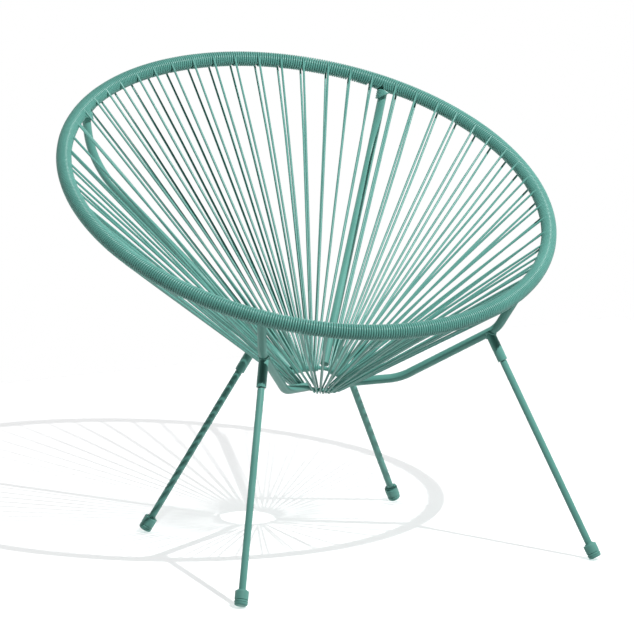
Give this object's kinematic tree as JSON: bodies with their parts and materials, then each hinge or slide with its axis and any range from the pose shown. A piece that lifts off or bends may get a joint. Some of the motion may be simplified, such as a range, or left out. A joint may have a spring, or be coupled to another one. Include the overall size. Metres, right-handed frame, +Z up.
{
  "type": "acapulco chair",
  "caption": "Round patio lounge chair: a tilted steel hoop and a centre ring laced with plastic cord, on bent ribs with screw-in legs.",
  "frame": {"origin": "on the floor, at the middle of the chair's outer box", "axes": "+Z up, the sitter faces -Y, +X to the right in a view from the front"},
  "size_m": [0.7534, 0.6987, 0.6934],
  "materials": {
    "frame_steel": "powder coated, satin",
    "seat_cord": "smooth extruded cord",
    "foot_plastic": "moulded, matte",
    "zinc": "zinc plated"
  },
  "bodies": {
    "root": {"hoop_tube": "frame_steel", "centre_ring": "frame_steel", "front_rib_right": "frame_steel", "front_rib_left": "frame_steel", "rear_rib_right": "frame_steel", "rear_rib_left": "frame_steel", "front_leg_socket_right": "frame_steel", "front_leg_socket_left": "frame_steel", "rear_leg_socket_right": "frame_steel", "rear_leg_socket_left": "frame_steel", "front_socket_nut_right": "zinc", "front_socket_nut_left": "zinc", "rear_socket_nut_right": "zinc", "rear_socket_nut_left": "zinc", "front_leg_right": "frame_steel", "front_leg_left": "frame_steel", "rear_leg_right": "frame_steel", "rear_leg_left": "frame_steel", "front_foot_cap_right": "foot_plastic", "front_foot_cap_left": "foot_plastic", "rear_foot_cap_right": "foot_plastic", "rear_foot_cap_left": "foot_plastic", "front_foot_pad_right": "foot_plastic", "front_foot_pad_left": "foot_plastic", "rear_foot_pad_right": "foot_plastic", "rear_foot_pad_left": "foot_plastic", "seat_cord_front_1": "seat_cord", "seat_cord_front_2": "seat_cord", "seat_cord_front_3": "seat_cord", "seat_cord_right_1": "seat_cord", "seat_cord_right_2": "seat_cord", "seat_cord_right_3": "seat_cord", "seat_cord_right_4": "seat_cord", "seat_cord_rear_1": "seat_cord", "seat_cord_rear_2": "seat_cord", "seat_cord_rear_3": "seat_cord", "seat_cord_left_1": "seat_cord", "seat_cord_left_2": "seat_cord", "seat_cord_left_3": "seat_cord", "seat_cord_left_4": "seat_cord"}
  },
  "joints": []
}
